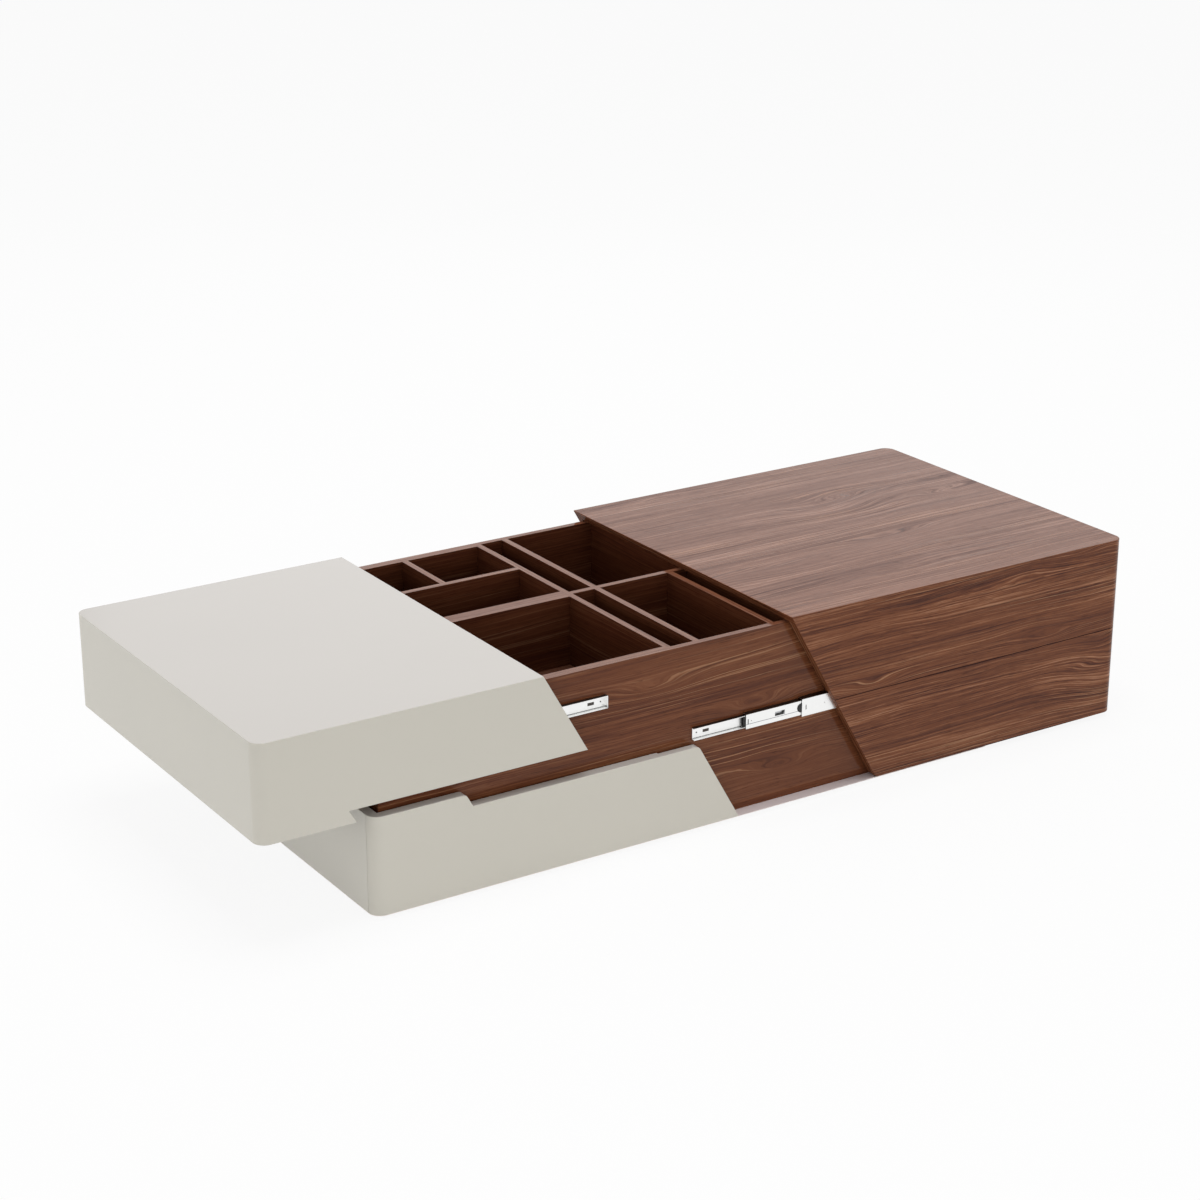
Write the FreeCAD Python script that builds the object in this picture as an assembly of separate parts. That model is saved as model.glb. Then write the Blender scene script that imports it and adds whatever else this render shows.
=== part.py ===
import FreeCAD, Part
import math
import os

os.makedirs("parts", exist_ok=True)

# Sliding top coffee table, drawn in millimetres and shown open.
# X runs along the length, Y from front to back, Z up from the floor.
# The origin is on the floor, under the middle of the base.

# Overall sizes
table_length = 1305.0
table_depth = 708.0
shell_height = 350.0
panel = 18.0
top_panel = 15.0
corner_radius = 22.0
edge_round = 1.0
joint_line = 0.9
joint_depth = 1.5
overrun = 5.0
join_tolerance = 0.000001

# Slanted seam between the two tops, measured from the base's left end when closed
seam_top = 524.5
seam_run = 199.8
seam_gap = 1.0
ease_radius = 12.0
left_travel = 200.0
right_travel = 305.0
middle_share = 0.5
outer_cage_share = 0.75
inner_cage_share = 0.25

# Split between the left top and the base, with the long hand slot cut half from each
split_height = 176.1
split_gap = 1.4
slot_cut = 23.0
slot_start = 173.5
slot_ease = 10.0

# Base board and the pads it stands on
pad_thickness = 2.0
pad_radius = 15.0
pad_inset = 70.0
base_thickness = 8.0
base_nose = 1.0
base_bevel = 18.0
cover_clearance = 0.4

# Walnut storage box inside
box_gap = 6.0
box_wall = 12.0
rim_clearance = 1.5
storage_depth = 131.0
liner = 7.0
divider = 12.0
centre_divider = 31.0
cross_left_at = 588.0
cross_right_at = 646.5
end_front_at = 806.0
end_back_at = 848.0
back_short_at = 427.0
back_long_at = 512.0
bearer = 18.0
bearer_shares = (0.25, 0.5, 0.75)
batten_width = 40.0
batten_height = 120.0
batten_shares = (0.06, 0.26, 0.44)
end_batten_shares = (-0.3, 0.3)

# Shadow line that carries the split on round the walnut cover
line_height = 173.3
line_width = 1.2
line_depth = 1.2

# Ball bearing slide sections, measured outwards from the box's face
slide_depth = 12.7
sheet = 1.0
rail_gap = 1.0
outer_height = 34.5
middle_height = 28.6
inner_height = 22.4
outer_flange_start = 1.2
middle_flange_start = 1.0
race_depth = 5.2
bend_radius = 1.4
inner_bend_radius = 0.4
ball_radius = 1.15
ball_clearance = 0.2
cage_sheet = 0.4
cage_lip_start = 3.2
cage_hole_clearance = 0.1
channel_clearance = 0.5
channel_end_clearance = 5.0
rail_clearance = 1.0

# Slide heights above the base board, and the member ends seen in the open pose
left_slide_height = 270.2
left_inner_end = 459.5
left_middle_set_back = 12.0
left_slide_length = 400.0
right_slide_height = 168.5
right_inner_end = 636.6
right_middle_end = 745.6
right_outer_end = 866.0
right_slide_length = 500.0
cage_length = 250.0
left_cage_offset = 55.0
right_cage_offset = 55.0
balls_per_row = 12
ball_end_margin = 10.0

# Slots, holes and plastic fittings of the slides
slot_from_end = 23.3
slot_length = 13.0
slot_height = 5.5
pilot_from_end = 10.2
pilot_radius = 1.5
dash_from_end = 3.5
dash_width = 2.0
dash_height = 9.0
outer_dash_from_end = 8.0
dot_radius = 0.9
middle_dot_from_end = 11.5
outer_dot_from_end = 50.0
crease_drop = 5.5
crease_width = 0.8
crease_depth = 0.3
lever_from_end = 62.6
lever_length = 21.4
lever_height = 8.0
lever_foot = 3.0
lever_proud = 0.3
lever_inset = 0.5
plug_length = 15.5
plug_proud = 1.5
plug_height = 18.0
plug_lift = 4.0
tab_radius = 8.6
tab_grip = 6.0
tab_thickness = 0.4

# Screws and dowels
screw_radius = 1.75
screw_clearance = 0.05
screw_length = 9.0
screw_head_radius = 3.5
screw_head_height = 1.8
sink_height = 1.6
sink_radius = 3.2
screw_first = 150.0
screw_pitch = 110.0
screws_per_rail = 3
dowel_radius = 4.0
dowel_in_top = 9.0
dowel_in_apron = 20.0
dowel_clearance = 0.05
hole_end_clearance = 0.5
dowel_margin = 60.0
left_dowels = 3
right_dowels = 5
end_dowels = 3

# Places worked out from the sizes above
left_x = -table_length / 2
right_x = table_length / 2
front_y = -table_depth / 2
back_y = table_depth / 2
base_z = pad_thickness
deck_z = base_z + base_thickness
top_z = deck_z + shell_height
under_top_z = top_z - top_panel
lean = seam_run / shell_height
split_z = deck_z + split_height
left_low_z = split_z + split_gap / 2
left_high_z = left_low_z + slot_cut
panel_high_z = split_z - split_gap / 2
panel_low_z = panel_high_z - slot_cut
cover_low_z = deck_z + cover_clearance
inset = panel + box_gap
box_left_x = left_x + inset
box_right_x = right_x - inset
box_front_y = front_y + inset
inside_left_x = box_left_x + box_wall
inside_right_x = box_right_x - box_wall
inside_front_y = box_front_y + box_wall
inside_back_y = -inside_front_y
rim_z = under_top_z - rim_clearance
store_z = rim_z - storage_depth
under_store_z = store_z - box_wall
cross_left_x = left_x + cross_left_at
cross_right_x = left_x + cross_right_at
end_front_x = left_x + end_front_at
end_back_x = left_x + end_back_at
back_short_x = left_x + back_short_at
back_long_y = front_y + back_long_at
channel_depth = slide_depth - box_gap
left_slide_z = deck_z + left_slide_height
right_slide_z = deck_z + right_slide_height
right_outer_x = left_x + right_outer_end - right_travel
line_z = deck_z + line_height
open_left = FreeCAD.Vector(-left_travel, 0, 0)
open_right = FreeCAD.Vector(right_travel, 0, 0)
backwards = FreeCAD.Vector(0, 1, 0)
upwards = FreeCAD.Vector(0, 0, 1)
lengthwise = FreeCAD.Vector(1, 0, 0)


def rounded_wire(corners, place):
    """A closed wire through (u, v, radius) corners, with an arc wherever the radius isn't zero."""
    stops = []
    count = len(corners)
    for i in range(count):
        u, v, radius = corners[i]
        here = FreeCAD.Vector(u, v, 0)
        before = FreeCAD.Vector(corners[i - 1][0], corners[i - 1][1], 0) - here
        after = FreeCAD.Vector(corners[(i + 1) % count][0], corners[(i + 1) % count][1], 0) - here
        before.normalize()
        after.normalize()
        half = before.getAngle(after) / 2
        back = radius / math.tan(half)
        middle = before + after
        if radius > 0:
            middle.normalize()
        crown = here + middle * (radius / math.sin(half) - radius)
        stops.append((here + before * back, crown, here + after * back, radius))
    edges = []
    for i in range(count):
        start, crown, end, radius = stops[i]
        following = stops[(i + 1) % count][0]
        if radius > 0:
            edges.append(Part.Arc(place(start), place(crown), place(end)).toShape())
        if not end.isEqual(following, join_tolerance):
            edges.append(Part.LineSegment(place(end), place(following)).toShape())
    return Part.Wire(edges)


def sharp(points):
    """The same (u, v) points as corners with no rounding."""
    return [(u, v, 0) for u, v in points]


def prism_z(corners, low, high):
    """An (x, y) outline raised from one height to another."""
    face = Part.Face(rounded_wire(corners, lambda p: FreeCAD.Vector(p.x, p.y, low)))
    return face.extrude(FreeCAD.Vector(0, 0, high - low))


def prism_y(corners, low, high):
    """An (x, z) outline carried from front to back."""
    face = Part.Face(rounded_wire(corners, lambda p: FreeCAD.Vector(p.x, low, p.y)))
    return face.extrude(FreeCAD.Vector(0, high - low, 0))


def prism_x(corners, low, high):
    """A (y, z) section carried along the length."""
    face = Part.Face(rounded_wire(corners, lambda p: FreeCAD.Vector(low, p.x, p.y)))
    return face.extrude(FreeCAD.Vector(high - low, 0, 0))


def board(x, y, z):
    """A square-edged board between two x, two y and two z values."""
    return Part.makeBox(x[1] - x[0], y[1] - y[0], z[1] - z[0], FreeCAD.Vector(x[0], y[0], z[0]))


def to_back(shape):
    """The same piece on the other long side."""
    return shape.mirror(FreeCAD.Vector(0, 0, 0), backwards)


def moved(shape, offset):
    """A copy of a piece, shifted."""
    copy = shape.copy()
    copy.translate(offset)
    return copy


def both_sides(shapes):
    """Front pieces and their mirrored twins."""
    return shapes + [to_back(shape) for shape in shapes]


def pin(radius, length, base, direction):
    """A round bar."""
    return Part.makeCylinder(radius, length, base, direction)


def slant(z, side):
    """Where a slanted edge meets height z: side -1 is the left part's edge, +1 the right part's."""
    return left_x + seam_top + lean * (top_z - z) + side * seam_gap / 2


def slot_end(z):
    """Left end of the hand slot, parallel to the seam."""
    return left_x + slot_start + lean * (split_z - z)


def save(name, pieces):
    """Writes one node, as one solid or as a group of like solids."""
    shape = pieces[0] if len(pieces) == 1 else Part.makeCompound(pieces)
    for solid in shape.Solids:
        if not solid.isValid():
            raise ValueError(name + " holds a bad solid")
    shape.exportStep("parts/" + name + ".step")


def front_plan(end_x, far_x):
    """Plan of a front panel that turns the rounded corner at end_x and returns to the end panel."""
    inward = math.copysign(panel, far_x - end_x)
    return [
        (end_x, front_y + corner_radius, 0),
        (end_x, front_y, corner_radius),
        (far_x, front_y, 0),
        (far_x, front_y + panel, 0),
        (end_x + inward, front_y + panel, 0),
        (end_x + inward, front_y + corner_radius, 0),
    ]


def front_panel(end_x, far_x, profile):
    """A front panel: its plan raised, then trimmed to its (x, z) profile."""
    heights = [corner[1] for corner in profile]
    blank = prism_z(front_plan(end_x, far_x), min(heights), max(heights))
    trim = prism_y(profile, front_y - overrun, front_y + corner_radius + overrun)
    return blank.common(trim).Solids[0]


def channel(start_x, end_x, slide_z):
    """Groove in a front panel's inner face that takes the slide's outer member."""
    half = outer_height / 2 + channel_clearance
    inner_face = front_y + panel
    depth = (inner_face - channel_depth, inner_face + overrun)
    return board((start_x, end_x), depth, (slide_z - half, slide_z + half))


def end_panel(x, z):
    """Straight end panel between the two rounded corners."""
    return board(x, (front_y + corner_radius, back_y - corner_radius), z)


def alike(first, second):
    """Whether two coordinates are the same place."""
    return abs(first - second) < edge_round / 2


def rounded_top(blank):
    """Rounds the edges of a top's upper face and the corners of its slanted edge."""
    edges = []
    for edge in blank.Edges:
        ends = [vertex.Point for vertex in edge.Vertexes]
        upper = all(alike(p.z, top_z) for p in ends)
        slanted = not alike(ends[0].z, ends[-1].z) and not alike(ends[0].x, ends[-1].x)
        if upper or slanted:
            edges.append(edge)
    return blank.makeFillet(edge_round, edges)


def rounded_skin(blank, end_x, joint_z):
    """Rounds the outer edges of a front or end panel, apart from upright ones and those at its joint."""
    edges = []
    for edge in blank.Edges:
        ends = [vertex.Point for vertex in edge.Vertexes]
        outside = all(alike(p.y, front_y) or alike(p.x, end_x) for p in ends)
        upright = alike(ends[0].x, ends[-1].x) and alike(ends[0].y, ends[-1].y)
        joint = all(alike(p.z, joint_z) for p in ends)
        if outside and not upright and not joint:
            edges.append(edge)
    return blank.makeFillet(edge_round, edges)


def dowel_places(start_x, end_x, count):
    """Points along the middle of a front panel's top edge."""
    step = (end_x - start_x) / (count - 1)
    return [FreeCAD.Vector(start_x + step * i, front_y + panel / 2, under_top_z) for i in range(count)]


def end_dowel_places(x):
    """Points along the middle of an end panel's top edge."""
    span = table_depth - 2 * corner_radius - 2 * dowel_margin
    step = span / (end_dowels - 1)
    return [FreeCAD.Vector(x, -span / 2 + step * i, under_top_z) for i in range(end_dowels)]


def dowels_at(places, extra, end_extra):
    """Upright dowels, or with extra sizes the holes for them."""
    below = FreeCAD.Vector(0, 0, dowel_in_apron + end_extra)
    length = dowel_in_apron + dowel_in_top + 2 * end_extra
    return [pin(dowel_radius + extra, length, place - below, upwards) for place in places]


def doweled(shape, holes):
    """A board with its dowel holes bored."""
    return shape.cut(Part.makeCompound(holes))


# Base board: a thin nose all round, bevelled back underneath so that the table seems to float
def base_outline(shrink):
    radius = corner_radius - shrink
    x = right_x - shrink
    y = back_y - shrink
    return [(-x, -y, radius), (x, -y, radius), (x, y, radius), (-x, y, radius)]


nose_z = deck_z - base_nose
nose = prism_z(base_outline(0), nose_z, deck_z)
bevel_wires = []
for shrink, z in ((base_bevel, base_z), (0, nose_z)):
    bevel_wires.append(rounded_wire(base_outline(shrink), lambda p, z=z: FreeCAD.Vector(p.x, p.y, z)))
bevel = Part.makeLoft(bevel_wires, True, True)
save("base_board", [nose.fuse(bevel).removeSplitter().Solids[0]])

# Felt pads under the base board, with one at the very middle
pads = []
for pad_x in (left_x + pad_inset, 0, right_x - pad_inset):
    for pad_y in (front_y + pad_inset, 0, back_y - pad_inset):
        pads.append(pin(pad_radius, pad_thickness, FreeCAD.Vector(pad_x, pad_y, 0), upwards))
save("floor_pads", pads)

# Lower lacquered panels, fixed on the base board
base_profile = [
    (left_x, deck_z, 0),
    (slant(deck_z, -1), deck_z, 0),
    (slant(panel_low_z, -1), panel_low_z, ease_radius),
    (slot_end(panel_low_z), panel_low_z, 0),
    (slot_end(panel_high_z), panel_high_z, slot_ease),
    (left_x, panel_high_z, 0),
]
base_panel = front_panel(left_x, slant(deck_z, -1) + overrun, base_profile)
base_panel = rounded_skin(base_panel, left_x, deck_z)
relief_y = front_y + inset - slide_depth - rail_clearance
relief_z = right_slide_z - outer_height / 2 - rail_clearance
relief = board(
    (right_outer_x - rail_clearance, right_x),
    (relief_y, front_y + panel + overrun),
    (relief_z, panel_high_z + overrun),
)
joint_y = front_y + corner_radius
joint_groove = board(
    (left_x - overrun, left_x + joint_depth),
    (joint_y - joint_line / 2, joint_y + joint_line / 2),
    (deck_z, panel_high_z),
)
base_panel = base_panel.cut(relief).cut(joint_groove).Solids[0]
save("base_front_panel", [base_panel])
save("base_back_panel", [to_back(base_panel)])
base_end = rounded_skin(end_panel((left_x, left_x + panel), (deck_z, panel_high_z)), left_x, deck_z)
base_end = base_end.cut(Part.makeCompound(both_sides([joint_groove]))).Solids[0]
save("base_left_end", [base_end])

# Battens that hold the lower panels off the box
battens = []
for share in batten_shares:
    batten_x = left_x + share * table_length
    battens.append(
        board(
            (batten_x, batten_x + batten_width),
            (front_y + panel, box_front_y),
            (deck_z, deck_z + batten_height),
        )
    )
battens = both_sides(battens)
for share in end_batten_shares:
    batten_y = share * table_depth
    battens.append(
        board(
            (left_x + panel, box_left_x),
            (batten_y - batten_width / 2, batten_y + batten_width / 2),
            (deck_z, deck_z + batten_height),
        )
    )
save("panel_battens", battens)

# Screws of the inner slide members, and the holes they need
def screw_line(end_x, heading, slide_z, y):
    """Screw points along a rail, counted from its visible end."""
    places = []
    for i in range(screws_per_rail):
        x = end_x + heading * (screw_first + screw_pitch * i)
        places.append(FreeCAD.Vector(x, y, slide_z))
    return places


web_y = box_front_y - sheet
inner_screw_places = screw_line(left_x + left_inner_end, -1, left_slide_z, web_y)
inner_screw_places += screw_line(left_x + right_inner_end, 1, right_slide_z, web_y)
inner_screws = []
inner_holes = []
for place in inner_screw_places:
    shank = pin(screw_radius, sheet + screw_length, place, backwards)
    head = pin(screw_head_radius, screw_head_height, place, -backwards)
    inner_screws.append(shank.fuse(head).removeSplitter().Solids[0])
    hole_depth = sheet + screw_length + hole_end_clearance
    inner_holes.append(pin(screw_radius + screw_clearance, hole_depth, place, backwards))
save("box_rail_screws", both_sides(inner_screws))

# Storage box: four walls on the base board, a raised floor and its bearers
wall_z = (deck_z, rim_z)
box_front = board((box_left_x, box_right_x), (box_front_y, inside_front_y), wall_z)
box_front = box_front.cut(Part.makeCompound(inner_holes)).Solids[0]
save("box_front_wall", [box_front])
save("box_back_wall", [to_back(box_front)])
inside_y = (inside_front_y, inside_back_y)
save("box_left_wall", [board((box_left_x, inside_left_x), inside_y, wall_z)])
save("box_right_wall", [board((inside_right_x, box_right_x), inside_y, wall_z)])
save("box_floor", [board((inside_left_x, inside_right_x), inside_y, (under_store_z, store_z))])
bearers = []
for share in bearer_shares:
    bearer_x = inside_left_x + share * (inside_right_x - inside_left_x)
    bearers.append(board((bearer_x - bearer / 2, bearer_x + bearer / 2), inside_y, (deck_z, under_store_z)))
save("floor_bearers", bearers)

# Dividers of the compartments, all standing on the box floor
store = (store_z, rim_z)
lap_z = (store_z + rim_z) / 2
half_divider = divider / 2
cross_left_face = cross_left_x + divider
front_liner = board((inside_left_x, cross_left_x), (inside_front_y, inside_front_y + liner), store)
save("front_liner", [front_liner])
save("back_liner", [to_back(front_liner)])
save("divider_cross_left", [board((cross_left_x, cross_left_face), inside_y, store)])
cross_right = board((cross_right_x, cross_right_x + divider), inside_y, store)
cross_lap = board(
    (cross_right_x, cross_right_x + divider),
    (-half_divider, half_divider),
    (lap_z, rim_z + overrun),
)
save("divider_cross_right", [cross_right.cut(cross_lap).Solids[0]])
centre_half = centre_divider / 2
save("divider_centre_thick", [board((inside_left_x, cross_left_x), (-centre_half, centre_half), store)])
centre_right = board((cross_left_face, end_back_x), (-half_divider, half_divider), store)
centre_lap = board(
    (cross_right_x, cross_right_x + divider),
    (-half_divider, half_divider),
    (store_z - overrun, lap_z),
)
save("divider_centre_right", [centre_right.cut(centre_lap).Solids[0]])
back_long = board((inside_left_x, cross_left_x), (back_long_y, back_long_y + divider), store)
save("divider_back_long", [back_long])
back_short_y = (back_long_y + divider, inside_back_y - liner)
save("divider_back_short", [board((back_short_x, back_short_x + divider), back_short_y, store)])
end_front_y = (inside_front_y, -half_divider)
save("divider_end_front", [board((end_front_x, end_front_x + divider), end_front_y, store)])
save("divider_end_back", [board((end_back_x, end_back_x + divider), inside_y, store)])

# Slide members, drawn on the front of the box with depths counted outwards from its face
outer_half = outer_height / 2
middle_half = middle_height / 2
inner_half = inner_height / 2
outer_web = slide_depth - sheet
middle_web = outer_web - rail_gap - sheet
inner_reach = middle_web - rail_gap
outer_ball_z = (outer_half - sheet + middle_half) / 2
inner_ball_z = (middle_half - sheet + inner_half) / 2


def channel_section(slide_z, half, back, front):
    """Bent sheet channel with its web at depth front and its two flanges running to depth back."""
    step = math.copysign(sheet, back - front)
    points = [
        (back, -half, 0),
        (front, -half, bend_radius),
        (front, half, bend_radius),
        (back, half, 0),
        (back, half - sheet, 0),
        (front + step, half - sheet, inner_bend_radius),
        (front + step, sheet - half, inner_bend_radius),
        (back, sheet - half, 0),
    ]
    return [(box_front_y - depth, slide_z + z, radius) for depth, z, radius in points]


def races(x, slide_z, ball_z):
    """Round grooves that the balls run in."""
    bars = []
    for sign in (-1, 1):
        start = FreeCAD.Vector(x[0] - overrun, box_front_y - race_depth, slide_z + sign * ball_z)
        length = x[1] - x[0] + 2 * overrun
        bars.append(pin(ball_radius + ball_clearance, length, start, lengthwise))
    return bars


def window(x, z, depth):
    """A small square opening through a web that starts at this depth."""
    y = box_front_y - depth
    return board(x, (y - overrun, y + sheet), z)


def dash(end_x, heading, from_end, slide_z, depth):
    """A short upright slot at a distance from a member's end."""
    x = sorted((end_x + heading * from_end, end_x + heading * (from_end + dash_width)))
    return window(x, (slide_z - dash_height / 2, slide_z + dash_height / 2), depth)


def dot(end_x, heading, from_end, slide_z, depth):
    """A small round hole at a distance from a member's end."""
    start = FreeCAD.Vector(end_x + heading * from_end, box_front_y - depth - overrun, slide_z)
    return pin(dot_radius, overrun + sheet, start, backwards)


def end_slots(end_x, heading, slide_z):
    """The mounting slot and pilot hole near a member's visible end."""
    slot_x = sorted((end_x + heading * slot_from_end, end_x + heading * (slot_from_end + slot_length)))
    slot_z = (slide_z - slot_height / 2, slide_z + slot_height / 2)
    slot = board(slot_x, (web_y - overrun, box_front_y + overrun), slot_z)
    pilot_at = FreeCAD.Vector(end_x + heading * pilot_from_end, web_y - overrun, slide_z)
    return [slot, pin(pilot_radius, sheet + 2 * overrun, pilot_at, backwards)]


def inner_rail(x, end_x, heading, slide_z, lip_depth):
    """Narrow member screwed to the box, its visible end bent out into a lip."""
    rail = prism_x(channel_section(slide_z, inner_half, inner_reach, 0), x[0], x[1])
    lip = board(
        sorted((end_x, end_x + heading * sheet)),
        (box_front_y - lip_depth, box_front_y),
        (slide_z - inner_half + sheet, slide_z + inner_half - sheet),
    )
    rail = rail.fuse(lip).removeSplitter()
    cuts = races(x, slide_z, inner_ball_z) + end_slots(end_x, heading, slide_z) + inner_holes
    return rail.cut(Part.makeCompound(cuts)).Solids[0]


def middle_rail(x, end_x, heading, slide_z):
    """Middle member, with its slot for the lever, its crease and a small dash at the visible end."""
    front = middle_web + sheet
    rail = prism_x(channel_section(slide_z, middle_half, middle_flange_start, front), x[0], x[1])
    lever_x = sorted((end_x + heading * lever_from_end, end_x + heading * (lever_from_end + lever_length)))
    crease_z = slide_z - crease_drop
    crease_y = box_front_y - front
    crease = board(x, (crease_y - overrun, crease_y + crease_depth), (crease_z, crease_z + crease_width))
    cuts = races(x, slide_z, inner_ball_z) + races(x, slide_z, outer_ball_z)
    cuts.append(dash(end_x, heading, dash_from_end, slide_z, middle_web))
    cuts.append(dot(end_x, heading, middle_dot_from_end, slide_z, middle_web))
    cuts.append(window(lever_x, (slide_z - lever_foot, slide_z - lever_foot + lever_height), middle_web))
    cuts.append(crease)
    return rail.cut(Part.makeCompound(cuts)).Solids[0]


def outer_rail(x, end_x, heading, slide_z, holes):
    """Wide member screwed into the groove of the sliding part."""
    rail = prism_x(channel_section(slide_z, outer_half, outer_flange_start, slide_depth), x[0], x[1])
    cuts = races(x, slide_z, outer_ball_z) + holes
    cuts.append(dash(end_x, heading, outer_dash_from_end, slide_z, outer_web))
    cuts.append(dot(end_x, heading, outer_dot_from_end, slide_z, outer_web))
    return rail.cut(Part.makeCompound(cuts)).Solids[0]


def ball_cage(start_x, slide_z, ball_z, web_depth):
    """A bent strip between two members, with a row of balls in each lip."""
    lip_half = cage_sheet / 2
    high = ball_z + lip_half
    points = [
        (cage_lip_start, -high),
        (web_depth + cage_sheet, -high),
        (web_depth + cage_sheet, high),
        (cage_lip_start, high),
        (cage_lip_start, high - cage_sheet),
        (web_depth, high - cage_sheet),
        (web_depth, cage_sheet - high),
        (cage_lip_start, cage_sheet - high),
    ]
    section = sharp([(box_front_y - depth, slide_z + z) for depth, z in points])
    strip = prism_x(section, start_x, start_x + cage_length)
    step = (cage_length - 2 * ball_end_margin) / (balls_per_row - 1)
    balls = []
    holes = []
    for i in range(balls_per_row):
        for sign in (-1, 1):
            centre = FreeCAD.Vector(
                start_x + ball_end_margin + step * i,
                box_front_y - race_depth,
                slide_z + sign * ball_z,
            )
            balls.append(Part.makeSphere(ball_radius, centre))
            base = centre - FreeCAD.Vector(0, 0, overrun / 2)
            holes.append(pin(ball_radius + cage_hole_clearance, overrun, base, upwards))
    return [strip.cut(Part.makeCompound(holes)).Solids[0]] + balls


def sunk_screw(place):
    """Countersunk screw whose head lies flush in the outer member's web."""
    head = Part.makeCone(sink_radius, screw_radius, sink_height, place, -backwards)
    shank = pin(screw_radius, screw_length, place, -backwards)
    return head.fuse(shank).removeSplitter().Solids[0]


def sunk_hole(place):
    """Hole for a countersunk screw, a little larger all over."""
    wide = sink_radius + screw_clearance
    narrow = screw_radius + screw_clearance
    head = Part.makeCone(wide, narrow, sink_height, place, -backwards)
    mouth = pin(wide, screw_clearance, place, backwards)
    shank = pin(narrow, screw_length + hole_end_clearance, place, -backwards)
    return head.fuse(shank).fuse(mouth)


def middle_plastics(end_x, heading, slide_z):
    """Black end plug and release lever of a middle member."""
    plug_x = sorted((end_x - heading * plug_proud, end_x + heading * (plug_length - plug_proud)))
    plug = board(
        plug_x,
        (box_front_y - middle_web, box_front_y - plug_lift),
        (slide_z - plug_height / 2, slide_z + plug_height / 2),
    )
    near = end_x + heading * (lever_from_end + lever_inset)
    far = end_x + heading * (lever_from_end + lever_length - lever_inset)
    low = slide_z - lever_foot + lever_inset
    high = slide_z - lever_foot + lever_height - lever_inset
    neck = far - heading * lever_foot
    hook = sharp(
        [
            (near, low),
            (neck, low),
            (far, high),
            (far - heading * lever_foot, high),
            (neck - heading * lever_foot, low + lever_foot),
            (near, low + lever_foot),
        ]
    )
    front = middle_web + sheet + lever_proud
    return [plug, prism_y(hook, box_front_y - front, box_front_y - middle_web)]


def outer_tab(end_x, heading, slide_z):
    """Thin half-round stop at the end of an outer member, held inside its web."""
    depth = outer_web - tab_thickness
    start = FreeCAD.Vector(end_x, box_front_y - outer_web, slide_z)
    disc = pin(tab_radius, tab_thickness, start, backwards)
    grip_x = sorted((end_x, end_x + heading * tab_grip))
    half_x = sorted((end_x - heading * (tab_radius + overrun), end_x))
    y = (box_front_y - outer_web, box_front_y - depth)
    round_half = disc.common(board(half_x, y, (slide_z - tab_radius, slide_z + tab_radius)))
    grip = board(grip_x, y, (slide_z - tab_radius, slide_z + tab_radius))
    return round_half.fuse(grip).removeSplitter().Solids[0]


# Left slides: the outer and inner members end together when closed, with the middle one set back
left_end_x = left_x + left_inner_end
left_rail_x = (left_end_x - left_slide_length, left_end_x)
left_middle_x = left_end_x - left_middle_set_back
left_screw_places = screw_line(left_end_x, -1, left_slide_z, box_front_y - outer_web)
left_screw_holes = [sunk_hole(place) for place in left_screw_places]
left_half_way = open_left * middle_share
left_inner = inner_rail(left_rail_x, left_end_x, -1, left_slide_z, inner_reach)
left_middle = middle_rail((left_rail_x[0], left_middle_x), left_middle_x, -1, left_slide_z)
left_middle = moved(left_middle, left_half_way)
left_outer = moved(outer_rail(left_rail_x, left_end_x, -1, left_slide_z, left_screw_holes), open_left)
left_plastics = [moved(piece, left_half_way) for piece in middle_plastics(left_middle_x, -1, left_slide_z)]
left_tab = moved(outer_tab(left_end_x, -1, left_slide_z), open_left)

# Right slides: far ends together when closed, near ends staggered, and a low lip that the plug clears
right_inner_x = left_x + right_inner_end
right_middle_x = left_x + right_middle_end - right_travel * middle_share
right_far_x = right_outer_x + right_slide_length
right_screw_places = screw_line(right_outer_x, 1, right_slide_z, box_front_y - outer_web)
right_screw_holes = [sunk_hole(place) for place in right_screw_places]
right_half_way = open_right * middle_share
right_lip = plug_lift - rail_clearance
right_inner = inner_rail((right_inner_x, right_far_x), right_inner_x, 1, right_slide_z, right_lip)
right_middle = middle_rail((right_middle_x, right_far_x), right_middle_x, 1, right_slide_z)
right_middle = moved(right_middle, right_half_way)
right_outer_span = (right_outer_x, right_far_x)
right_outer = outer_rail(right_outer_span, right_outer_x, 1, right_slide_z, right_screw_holes)
right_outer = moved(right_outer, open_right)
right_plastics = [moved(piece, right_half_way) for piece in middle_plastics(right_middle_x, 1, right_slide_z)]
right_tab = moved(outer_tab(right_outer_x, 1, right_slide_z), open_right)

rails = {
    "left_inner_rail": left_inner,
    "left_middle_rail": left_middle,
    "left_outer_rail": left_outer,
    "right_inner_rail": right_inner,
    "right_middle_rail": right_middle,
    "right_outer_rail": right_outer,
}
for name, rail in rails.items():
    save(name + "_front", [rail])
    save(name + "_back", [to_back(rail)])
save("left_slide_plastics", both_sides(left_plastics))
save("right_slide_plastics", both_sides(right_plastics))
save("left_rail_stops", both_sides([left_tab]))
save("right_rail_stops", both_sides([right_tab]))

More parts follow.
